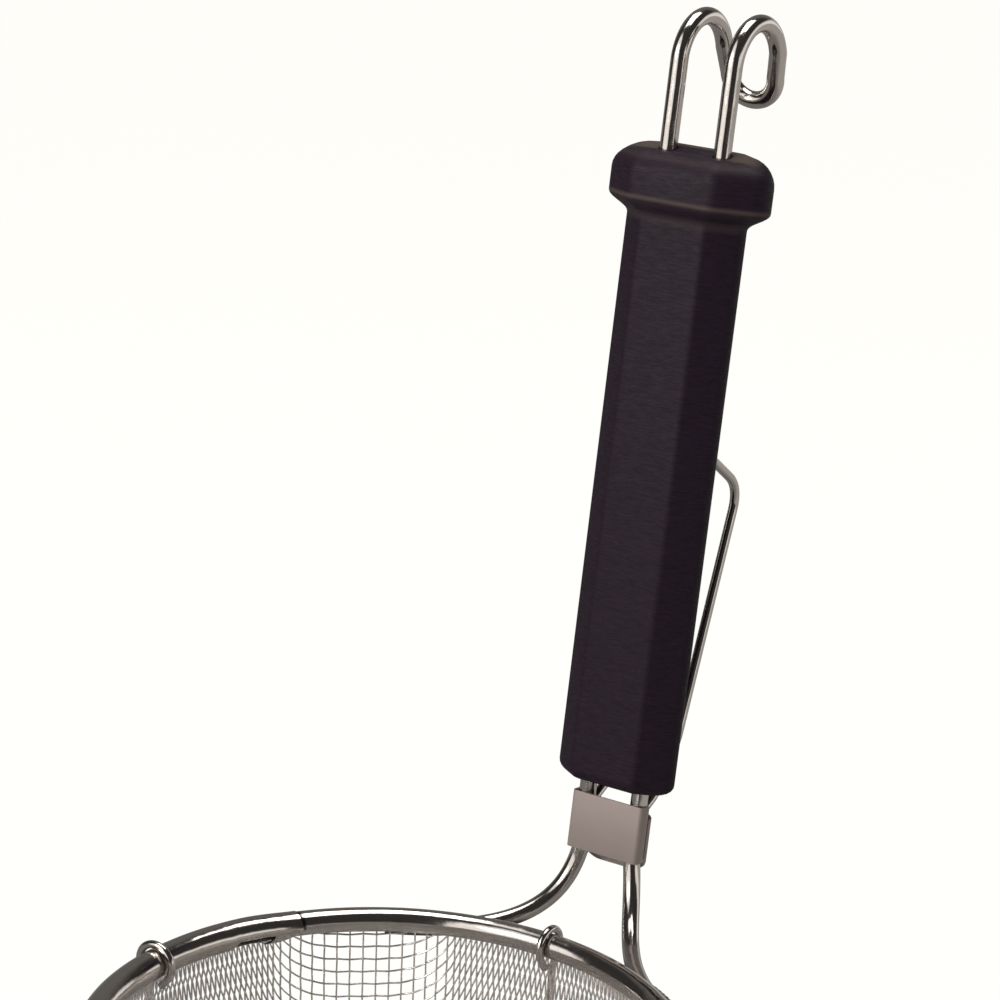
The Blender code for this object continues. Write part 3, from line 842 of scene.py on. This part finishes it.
class STRAINER_OT_rod(bpy.types.Operator):
    """Bend the handle's rod and weld it to the rim"""
    bl_idname = "strainer.rod"
    bl_label = "Handle rod"

    def execute(self, context):
        rim, handle = context.scene.strainer_rim, context.scene.strainer_handle
        right = rod_side(rim, handle)
        piece = wire_piece(right + mirrored(right[:-1]), handle.rod, 28)
        soften_ends(piece, mm(0.6), segments=3)
        complete(piece, "bent_rod", ["handle_rod"], welded_steel())
        self.welds(rim, handle)
        return {"FINISHED"}

    def welds(self, rim, handle):
        """Beads with overlapping swells, as a hand-laid weld has."""
        reach = weld_reach(rim, handle)
        along = math.sqrt(reach ** 2 - WELD_DROP ** 2) / reach
        drop = WELD_DROP / reach
        to_rim = rim.tube_radius + WELD_BEAD + WELD_CLEARANCE
        to_rod = handle.rod + WELD_BEAD + WELD_CLEARANCE
        run = (to_rim ** 2 - to_rod ** 2 + reach ** 2) / (2 * reach)
        above = math.sqrt(to_rim ** 2 - run ** 2)
        radius = rim.ring_radius + run * along + above * drop
        height = -run * drop + above * along
        lap = WELD_LENGTH / 2 / radius
        slices = [(bpy.ops.mesh.bisect, {"plane_co": (0, 0, step / 12 - 1), "plane_no": (0, 0, 1)})
                  for step in range(1, 24)]
        for side, hand in HANDS:
            bpy.ops.mesh.primitive_cylinder_add(vertices=14, radius=WELD_BEAD * 0.97, depth=2.0)
            piece = bpy.context.object
            edit_mesh(*slices)
            for vert in piece.data.vertices:
                share = vert.co.z
                swell = 0.82 + 0.18 * abs(math.cos(share * 9.0)) if abs(share) < 0.97 else 0.55
                turn = hand * (WELD_ANGLE + lap * share)
                offset = on_ring(turn, 1.0, 0.0) * (vert.co.x * swell) + UP * (vert.co.y * swell)
                vert.co = on_ring(turn, radius, height) + offset
            edit_mesh(FACE_OUTWARDS)
            complete(piece, "weld_bead_" + side, ["weld_" + side])


# The grip


GRIP_HALVES = (mm(18.8), mm(9.2), mm(7.5))
FLARE_HALVES = (mm(26.4), mm(11.7), mm(10.8))
GRIP_EDGE, FLARE_EDGE, GRIP_END, FLARE_END = mm(3.0), mm(5.5), mm(3.2), mm(5.8)
FLARE_HEIGHT, FLARE_NECK = mm(11.4), mm(5.7)
BORE_GAP = mm(0.2)
DOME, DOME_START, DOME_RUN = mm(1.6), mm(-2.5), mm(7.0)
# Share of painted highlight against millimetres above the flare's lower edge.
HIGHLIGHT_LINE = ((-6.6, 0.0), (-5.9, 0.15), (-4.6, 0.2), (-3.2, 0.03), (-1.2, 0.08), (-0.3, 0.7), (0.5, 0.0))


def grip_section(flare, inset):
    """Half width, half flat and half depth of the grip's hexagon."""
    half_width, half_flat, half_depth = (
        low + (high - low) * flare for low, high in zip(GRIP_HALVES, FLARE_HALVES))
    slope = math.atan2(half_depth, half_width - half_flat)
    return (half_width - inset / math.sin(slope), half_flat - inset * math.tan(slope / 2), half_depth - inset)


def grip_stations(handle):
    """Up the grip: length, share of the flare, inset."""
    top = handle.grip_start + handle.grip_length
    edge = top - FLARE_HEIGHT
    rows = []
    for step in range(7):
        turn = math.pi / 2 * step / 6
        rows.append((handle.grip_start + GRIP_END * (1 - math.cos(turn)), 0.0, GRIP_END * (1 - math.sin(turn))))
    for step in range(25):
        t = step / 24
        rows.append((edge - FLARE_NECK * (1 - t), t ** 3 * (t * (6 * t - 15) + 10), 0.0))
    rows.insert(7, (edge - FLARE_NECK - mm(1.0), 0.0, 0.0))
    rows.append((edge + mm(0.6), 1.0, 0.0))
    for step in range(9):
        turn = math.pi / 2 * step / 8
        rows.append((top - FLARE_END + FLARE_END * math.sin(turn), 1.0, FLARE_END * (1 - math.cos(turn))))
    for step in range(1, 8):
        rows.append((top, 1.0, FLARE_END + mm(0.6) * step))
    return rows


def dome(q, length, handle):
    """How far the flare's top swells upwards behind the rods."""
    top = handle.grip_start + handle.grip_length
    return DOME * limited(1.0 - (top - length) / FLARE_END) * eased((q - DOME_START) / DOME_RUN)


def sheen(q, length, handle):
    """How much painted highlight the plastic takes: on the flare's lower edge and neck, its top edge and behind the
    rods.
    """
    top = handle.grip_start + handle.grip_length
    lower = float(np.interp((length - top + FLARE_HEIGHT) / mm(1.0), *zip(*HIGHLIGHT_LINE)))
    back = limited((q + mm(3.2)) / mm(1.6))
    over = limited((length - top + mm(0.8)) / mm(0.8))
    front = 0.2 * max(0.0, 1.0 - abs(length - top + mm(1.6)) / mm(1.2))
    return max(lower, 0.9 * back * over, front * (1.0 - back))


def hexagon_ring(section, edge, per_corner=9):
    """A rounded hexagon's points, in the handle's u and q."""
    half_width, half_flat, half_depth = section
    corners = [(half_width, 0.0), (half_flat, half_depth), (-half_flat, half_depth)]
    corners = [Vector(corner) for corner in corners + [(-x, -y) for x, y in corners]]
    ring = []
    for index, corner in enumerate(corners):
        back = (corners[index - 1] - corner).normalized()
        ahead = (corners[(index + 1) % 6] - corner).normalized()
        half = math.acos(max(-1.0, min(1.0, back.dot(ahead)))) / 2
        centre = corner + (back + ahead).normalized() * (edge / math.sin(half))
        first = corner + back * (edge / math.tan(half)) - centre
        for step in range(per_corner):
            turn = (math.pi - 2 * half) * step / (per_corner - 1)
            ring.append(centre + Matrix.Rotation(turn, 2) @ first)
    return ring


class STRAINER_OT_grip(bpy.types.Operator):
    """Mould the hexagonal grip with its flare, and bore it for the rods"""
    bl_idname = "strainer.grip"
    bl_label = "Grip"

    def execute(self, context):
        handle = context.scene.strainer_handle
        rows, highlights = [], []
        for length, flare, inset in grip_stations(handle):
            edge = GRIP_EDGE + (FLARE_EDGE - GRIP_EDGE) * flare - inset * 0.5 * flare
            ring = hexagon_ring(grip_section(flare, inset), edge)
            rows.append([handle_point(u, q, length + dome(q, length, handle)) for u, q in ring])
            # Each point's share of painted highlight, kept as a point attribute.
            highlights.extend(sheen(q, length, handle) for _, q in ring)
        piece = ring_piece("grip_body", np.array(rows))
        piece.data.attributes.new("sheen", "FLOAT", "POINT").data.foreach_set("value", highlights)
        for hand in (-1, 1):
            self.bore(piece, handle, hand)
        complete(piece, "grip_body", ["grip"], grip_plastic(), smooth=32)
        return {"FINISHED"}

    def bore(self, piece, handle, hand):
        centre = handle_point(hand * handle.spacing / 2, 0.0, handle.grip_start + handle.grip_length / 2)
        bpy.ops.mesh.primitive_cylinder_add(vertices=32, radius=handle.rod + BORE_GAP,
                                            depth=handle.grip_length + mm(20),
                                            location=centre, rotation=(-handle.tilt, 0.0, 0.0))
        cut(piece, "DIFFERENCE", bpy.context.object)


# The collar


COLLAR_SHEET = mm(0.6)
COLLAR_GAP = mm(0.1)
COLLAR_EDGE = mm(0.12)
PLATE_TOP_STEP, PLATE_BOTTOM_STEP, PLATE_CORNER = mm(3.6), mm(3.8), mm(6.5)
PLATE_CHAMFER = (mm(2.4), mm(3.0))
CLIP_SETBACK = mm(3.65)


def fold_sheet(line, height, bend, middle):
    """An upright strip of sheet, its corners bevelled round and its thickness on the side of the middle."""
    piece = new_piece("sheet", [(u, q, 0.0) for u, q in line], [], [(i, i + 1) for i in range(len(line) - 1)])
    edit_mesh((bpy.ops.mesh.bevel, {"offset": bend, "segments": 7, "affect": "VERTICES", "profile": 0.5}),
              (bpy.ops.mesh.extrude_region_move, {"TRANSFORM_OT_translate": {"value": (0.0, 0.0, height)}}),
              FACE_OUTWARDS)
    total = sum(face.normal.dot((face.center.x, face.center.y - middle, 0.0)) * face.area
                for face in piece.data.polygons)
    modify(piece, "SOLIDIFY", thickness=COLLAR_SHEET, offset=-1.0 if total > 0 else 1.0, use_even_offset=True)
    return piece


def set_on_handle(piece, start):
    """Takes a piece from the handle's own axes to the rim's frame."""
    handle = bpy.context.scene.strainer_handle
    turn = Matrix.Rotation(-handle.tilt, 4, "X")
    piece.data.transform(Matrix.Translation(handle_point(0.0, 0.0, start)) @ turn)


def collar_half(handle):
    return handle.spacing / 2 + handle.rod + COLLAR_GAP + COLLAR_SHEET


class STRAINER_OT_collar(bpy.types.Operator):
    """Fold the collar's front and back plates round the rods and the clip's ends"""
    bl_idname = "strainer.collar"
    bl_label = "Collar"

    def execute(self, context):
        handle = context.scene.strainer_handle
        self.front(handle)
        self.back(handle)
        return {"FINISHED"}

    def front(self, handle):
        half, face = collar_half(handle), -(handle.rod + COLLAR_GAP + COLLAR_SHEET)
        line = [(-half, mm(0.6)), (-half, face), (half, face), (half, mm(0.6))]
        piece = fold_sheet(line, handle.collar_height, mm(1.2), mm(2.0))
        soften_ends(piece, COLLAR_EDGE, 50)
        set_on_handle(piece, handle.collar_start)
        complete(piece, "collar_front_plate", ["collar_front"], collar_steel(), smooth=35)

    def back(self, handle):
        half = collar_half(handle)
        face = CLIP_SETBACK + handle.clip + COLLAR_GAP + COLLAR_SHEET
        flat, side = half - PLATE_CHAMFER[0], face - PLATE_CHAMFER[1]
        line = [(half, mm(0.9)), (half, side), (flat, face), (-flat, face), (-half, side), (-half, mm(0.9))]
        height = handle.collar_height - PLATE_TOP_STEP + PLATE_BOTTOM_STEP
        piece = fold_sheet(line, height, mm(1.0), 0.0)
        self.round_lower_corners(piece, half, height)
        soften_ends(piece, COLLAR_EDGE, 50)
        set_on_handle(piece, handle.collar_start - PLATE_BOTTOM_STEP)
        complete(piece, "collar_back_plate", ["collar_back"], collar_steel(), smooth=35)

    def round_lower_corners(self, piece, half, height):
        """Trims the plate with a block whose two lower edges are rounded."""
        across, wide, corner = Vector((1.0, 0.0, 0.0)), half + mm(0.2), PLATE_CORNER
        ring = [across * wide + UP * (2 * height), UP * (2 * height) - across * wide]
        for hand, start in ((-1, math.pi), (1, 1.5 * math.pi)):
            centre = across * (hand * (wide - corner)) + UP * corner
            ring += arc(centre, start, start + math.pi / 2, across, UP, corner, 12)
        rows = [[(point.x, q, point.z) for point in ring] for q in (-mm(20.0), mm(20.0))]
        cut(piece, "INTERSECT", ring_piece("block", np.array(rows)))


# The clip


CLIP_SPREAD = mm(7.3)
CLIP_OUT, CLIP_RISE = mm(13.1), mm(18.5)
CLIP_SHOULDER, CLIP_TIP = mm(83.6), mm(95.6)
CLIP_LEAN = math.radians(13.1)
CLIP_ROOT, CLIP_GAP = mm(12.3), mm(0.3)


def clip_foot(handle):
    return handle.collar_start + handle.collar_height - PLATE_TOP_STEP + COLLAR_SHEET


class STRAINER_OT_clip(bpy.types.Operator):
    """Bend the springy clip behind the grip"""
    bl_idname = "strainer.clip"
    bl_label = "Clip"

    def execute(self, context):
        handle = context.scene.strainer_handle
        start, root = clip_foot(handle), CLIP_SETBACK
        knee = root + CLIP_OUT
        line = [(root, 0.0), (root, mm(1.0)), (root + CLIP_OUT * 0.32, CLIP_RISE * 0.2),
                (root + CLIP_OUT * 0.7, CLIP_RISE * 0.52), (knee, CLIP_RISE),
                (knee + (CLIP_SHOULDER - CLIP_RISE) * math.tan(CLIP_LEAN), CLIP_SHOULDER),
                (GRIP_HALVES[2] + CLIP_GAP + handle.clip, CLIP_TIP)]
        right = [handle_point(CLIP_SPREAD, q, start + rise) for q, rise in line]
        bow = wire_piece(rounded(right + mirrored(right), mm(8.5), 12), handle.clip, 20)
        complete(bow, "clip_bow", ["clip_wire"], body=CLIP_BODY)
        for side, hand in HANDS:
            foot = handle_point(hand * CLIP_SPREAD, root, start - CLIP_ROOT)
            head = handle_point(hand * CLIP_SPREAD, root, start - CLIP_GAP)
            stub = wire_piece([foot.lerp(head, step / 4) for step in range(5)], handle.clip, 20)
            soften_ends(stub, mm(0.15))
            complete(stub, "clip_end_" + side, ["clip_root_" + side], smooth=40)
        return {"FINISHED"}


# The stage


PICTURE_RIGHT = Vector((0.82, 0.575, 0.0)).normalized()
PICTURE_NEAR = Vector((0.575, -0.82, 0.0)).normalized()
WHITE = (1.0, 0.991, 0.956, 1.0)


def stage_direction(right, toward, up):
    """A direction in the scene from parts along the picture's right, towards the camera and up."""
    return (PICTURE_RIGHT * right + PICTURE_NEAR * toward + UP * up).normalized()


class STRAINER_OT_stage(bpy.types.Operator):
    """Lay the pale floor, the soft studio light and the camera"""
    bl_idname = "strainer.stage"
    bl_label = "Stage"

    def execute(self, context):
        self.floor(context)
        self.world(context)
        self.lamps(context)
        self.camera(context)
        context.scene.view_settings.view_transform = "Standard"
        return {"FINISHED"}

    def floor(self, context):
        low = CAD_BOX[0].z - mm(0.5)
        bpy.ops.mesh.primitive_plane_add(size=12.0, location=(0.0, 0.0, low))
        floor = bpy.context.object
        floor.name = "floor"
        made = bpy.data.materials.new("finish_floor")
        made.use_nodes = True
        finish = Finish(made.node_tree)
        pale = tuple(context.scene.strainer_colours.floor)
        cloud = finish.noise(finish.coordinates(), 2.0)
        shader = finish.fill(shader_of(made), {
            "Roughness": 0.9,
            "Specular IOR Level": 0.1,
            "Base Color": finish.mix(cloud, pale, tone(pale, 1.02)),
        })
        right = finish.along(finish.coordinates(), PICTURE_RIGHT).between(0.05, 0.5)
        mirrored = finish.mix(right, (0.24, 0.228, 0.216), (0.48, 0.456, 0.432))
        dim = finish.node("ShaderNodeEmission", None, {"Color": mirrored})
        glow = finish.node("ShaderNodeEmission", None, {"Color": WHITE, "Strength": 1.05})
        inner = finish.blend(finish.ray("Is Glossy Ray"), shader, dim)
        finish.show(finish.blend(finish.ray("Is Camera Ray") * 0.92, inner, glow))
        floor.data.materials.append(made)

    def world(self, context):
        """A studio seen by direction: white card at the left, dark in front, grey at the right, white above."""
        world = bpy.data.worlds.new("studio")
        context.scene.world = world
        world.use_nodes = True
        finish = Finish(world.node_tree)
        toward = finish.node("ShaderNodeTexCoord").outputs["Generated"]
        right, near, up = (finish.along(toward, part) for part in (PICTURE_RIGHT, PICTURE_NEAR, UP))
        left, far, down = (0.0 - part for part in (right, near, up))
        card = left.between(0.33, 0.45) * near.between(0.03, 0.17) * (1.0 - up.between(0.78, 0.9))
        level = 0.04 + card * 1.25
        for share in (
            right.between(0.62, 0.72) * (1.0 - up.between(0.15, 0.35)) * 1.1,
            right.between(0.0, 0.2) * far.between(0.3, 0.5) * (1.0 - up.between(0.1, 0.3)) * 0.5,
            up.between(0.84, 0.92) * far.between(0.0, 0.14) * 1.3,
            far.between(0.45, 0.8) * 0.16,
            down.between(0.02, 0.10) * 0.28,
        ):
            level = level.larger(share)
        lit = finish.node("ShaderNodeBackground", None, {"Strength": level, "Color": (1.0, 0.965, 0.925, 1.0)})
        white = finish.node("ShaderNodeBackground", None, {"Color": WHITE, "Strength": 1.0})
        finish.show(finish.blend(finish.ray("Is Camera Ray"), lit, white))

    def lamps(self, context):
        middle = (CAD_BOX[0] + CAD_BOX[1]) / 2
        for name, direction, distance, width, power in (
            ("key_softbox", stage_direction(-0.85, 0.55, 0.55), 1.3, 0.5, 9.0),
            ("top_softbox", stage_direction(0.1, -0.25, 1.0), 1.4, 0.9, 10.0),
        ):
            lamp = bpy.data.lights.new(name, "AREA")
            lamp.shape = "SQUARE"
            lamp.size = width
            lamp.energy = power
            lamp.color = (1.0, 0.975, 0.94)
            holder = bpy.data.objects.new(name, lamp)
            holder.location = middle + direction * distance
            holder.rotation_euler = (-direction).to_track_quat("-Z", "Y").to_euler()
            context.scene.collection.objects.link(holder)

    def camera(self, context):
        settings = context.scene.strainer_camera
        lens = bpy.data.cameras.new("camera")
        lens.lens = settings.focal
        lens.shift_x, lens.shift_y = settings.shift_x, settings.shift_y
        lens.clip_start, lens.clip_end = 0.01, 50.0
        holder = bpy.data.objects.new("camera", lens)
        right, up = Vector(settings.right).normalized(), Vector(settings.up).normalized()
        back = right.cross(up)
        turn = Matrix((right, up, back)).transposed()
        holder.matrix_world = Matrix.Translation(Vector(settings.place)) @ turn.to_4x4()
        context.scene.collection.objects.link(holder)
        context.scene.camera = holder


class STRAINER_PT_sidebar(bpy.types.Panel):
    """Lists the strainer's sizes, colours and building steps"""
    bl_label = "Strainer"
    bl_idname = "STRAINER_PT_sidebar"
    bl_space_type = "VIEW_3D"
    bl_region_type = "UI"
    bl_category = "Strainer"

    def draw(self, context):
        for group in GROUPS:
            box = self.layout.box()
            settings = getattr(context.scene, group)
            for name in settings.bl_rna.properties.keys():
                if name not in ("rna_type", "name"):
                    box.prop(settings, name)
        for step in STEPS:
            self.layout.operator(step.bl_idname)


GROUPS = {
    "strainer_rim": RimSizes,
    "strainer_net": NetSizes,
    "strainer_handle": HandleSizes,
    "strainer_colours": FinishColours,
    "strainer_camera": CameraSettings,
}
STEPS = (STRAINER_OT_stage, STRAINER_OT_rim, STRAINER_OT_net, STRAINER_OT_ribs, STRAINER_OT_rod, STRAINER_OT_grip,
         STRAINER_OT_collar, STRAINER_OT_clip)


def register():
    for name, group in GROUPS.items():
        bpy.utils.register_class(group)
        setattr(bpy.types.Scene, name, PointerProperty(type=group))
    for step in STEPS:
        bpy.utils.register_class(step)
    bpy.utils.register_class(STRAINER_PT_sidebar)


def unregister():
    bpy.utils.unregister_class(STRAINER_PT_sidebar)
    for step in reversed(STEPS):
        bpy.utils.unregister_class(step)
    for name, group in reversed(list(GROUPS.items())):
        delattr(bpy.types.Scene, name)
        bpy.utils.unregister_class(group)


def main():
    register()
    for step in STEPS:
        getattr(bpy.ops.strainer, step.bl_idname.split(".")[1])()


if __name__ == "__main__":
    main()
